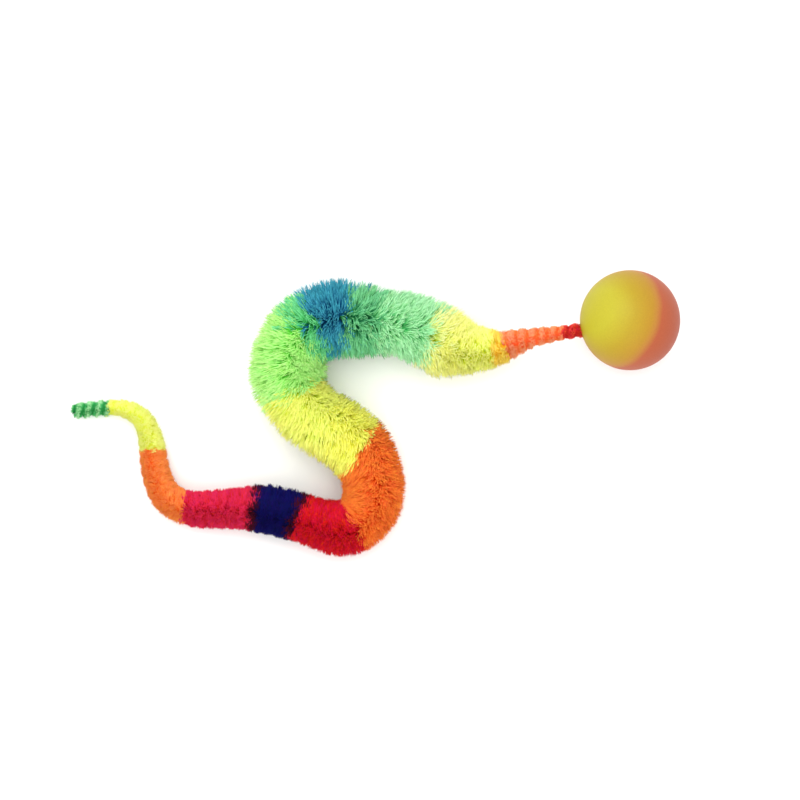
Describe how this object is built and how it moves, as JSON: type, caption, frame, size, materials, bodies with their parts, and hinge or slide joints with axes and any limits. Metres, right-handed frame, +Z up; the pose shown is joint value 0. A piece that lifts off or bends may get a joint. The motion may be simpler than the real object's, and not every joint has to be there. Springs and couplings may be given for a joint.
{
  "type": "plush worm ball toy",
  "caption": "Long tapered chenille tail in bright colour bands, lying in its bends and anchored by its thin end in a small two-tone rubber ball; the tail hinges sideways.",
  "frame": {"origin": "middle of the base of the whole, on the surface that the ball and the tail rest on", "axes": "+Z up off that surface; +X from the tail's tip towards the ball; +Y across the tail's bends"},
  "size_m": [0.1956, 0.0916, 0.032],
  "materials": {
    "rubber_yellow": "matte",
    "rubber_orange": "matte",
    "pile_red": "fuzzy",
    "pile_orange": "fuzzy",
    "pile_amber": "fuzzy",
    "pile_lime": "fuzzy",
    "pile_mint": "fuzzy",
    "pile_blue": "fuzzy",
    "pile_green": "fuzzy",
    "pile_crimson": "fuzzy",
    "pile_navy": "fuzzy",
    "core_yarn": "matte",
    "glue": "satin"
  },
  "bodies": {
    "ball": {"ball_yellow": "rubber_yellow", "ball_orange": "rubber_orange", "core_knot": "core_yarn", "glue_plug": "glue"},
    "red_length": {"pile_red": "pile_red", "core_red": "core_yarn"},
    "orange_neck_length": {"pile_orange_neck": "pile_orange", "core_orange_neck": "core_yarn", "pile_amber": "pile_amber", "core_amber": "core_yarn"},
    "lime_front_length": {"pile_lime_front": "pile_lime", "core_lime_front": "core_yarn"},
    "mint_length": {"pile_mint": "pile_mint", "core_mint": "core_yarn"},
    "blue_length": {"pile_blue": "pile_blue", "core_blue": "core_yarn"},
    "green_length": {"pile_green": "pile_green", "core_green": "core_yarn"},
    "lime_middle_length": {"pile_lime_middle": "pile_lime", "core_lime_middle": "core_yarn"},
    "orange_middle_length": {"pile_orange_middle": "pile_orange", "core_orange_middle": "core_yarn"},
    "crimson_front_length": {"pile_crimson_front": "pile_crimson", "core_crimson_front": "core_yarn"},
    "navy_length": {"pile_navy": "pile_navy", "core_navy": "core_yarn"},
    "crimson_rear_length": {"pile_crimson_rear": "pile_crimson", "core_crimson_rear": "core_yarn"},
    "orange_tail_length": {"pile_orange_tail": "pile_orange", "core_orange_tail": "core_yarn"},
    "lime_tail_length": {"pile_lime_tail": "pile_lime", "core_lime_tail": "core_yarn"},
    "green_tip_length": {"pile_green_tip": "pile_green", "core_green_tip": "core_yarn"}
  },
  "joints": [
    {"name": "red_bend", "type": "hinge", "parent": "ball", "child": "red_length", "pos_m": [0.06605, 0.02647, 0.016], "axis": [0, 0, -1], "range_deg": [-25, 25]},
    {"name": "orange_neck_bend", "type": "hinge", "parent": "red_length", "child": "orange_neck_length", "pos_m": [0.0606, 0.0257, 0.0154], "axis": [0, 0, 1], "range_deg": [-25, 25]},
    {"name": "lime_front_bend", "type": "hinge", "parent": "orange_neck_length", "child": "lime_front_length", "pos_m": [0.0392, 0.02088, 0.01298], "axis": [0, 0, -1], "range_deg": [-25, 10]},
    {"name": "mint_bend", "type": "hinge", "parent": "lime_front_length", "child": "mint_length", "pos_m": [0.02155, 0.02352, 0.011], "axis": [0, 0, -1], "range_deg": [-25, 10]},
    {"name": "blue_bend", "type": "hinge", "parent": "mint_length", "child": "blue_length", "pos_m": [-0.00605, 0.0304, 0.01175], "axis": [0, 0, 1], "range_deg": [-25, 10]},
    {"name": "green_bend", "type": "hinge", "parent": "blue_length", "child": "green_length", "pos_m": [-0.01932, 0.02924, 0.01175], "axis": [0, 0, 1], "range_deg": [-25, 10]},
    {"name": "lime_middle_bend", "type": "hinge", "parent": "green_length", "child": "lime_middle_length", "pos_m": [-0.02582, 0.00724, 0.01175], "axis": [0, 0, 1], "range_deg": [-25, 10]},
    {"name": "orange_middle_bend", "type": "hinge", "parent": "lime_middle_length", "child": "orange_middle_length", "pos_m": [-0.00359, -0.01174, 0.01025], "axis": [0, 0, -1], "range_deg": [-25, 10]},
    {"name": "crimson_front_bend", "type": "hinge", "parent": "orange_middle_length", "child": "crimson_front_length", "pos_m": [-0.00552, -0.03551, 0.009], "axis": [0, 0, -1], "range_deg": [-25, 10]},
    {"name": "navy_bend", "type": "hinge", "parent": "crimson_front_length", "child": "navy_length", "pos_m": [-0.02532, -0.03373, 0.0085], "axis": [0, 0, 1], "range_deg": [-25, 25]},
    {"name": "crimson_rear_bend", "type": "hinge", "parent": "navy_length", "child": "crimson_rear_length", "pos_m": [-0.03802, -0.03103, 0.0077], "axis": [0, 0, 1], "range_deg": [-25, 25]},
    {"name": "orange_tail_bend", "type": "hinge", "parent": "crimson_rear_length", "child": "orange_tail_length", "pos_m": [-0.06048, -0.02985, 0.0059], "axis": [0, 0, -1], "range_deg": [-25, 25]},
    {"name": "lime_tail_bend", "type": "hinge", "parent": "orange_tail_length", "child": "lime_tail_length", "pos_m": [-0.07154, -0.0121, 0.0042], "axis": [0, 0, 1], "range_deg": [-25, 25]},
    {"name": "green_tip_bend", "type": "hinge", "parent": "lime_tail_length", "child": "green_tip_length", "pos_m": [-0.08442, 0.00184, 0.0026], "axis": [0, 0, 1], "range_deg": [-25, 25]}
  ]
}
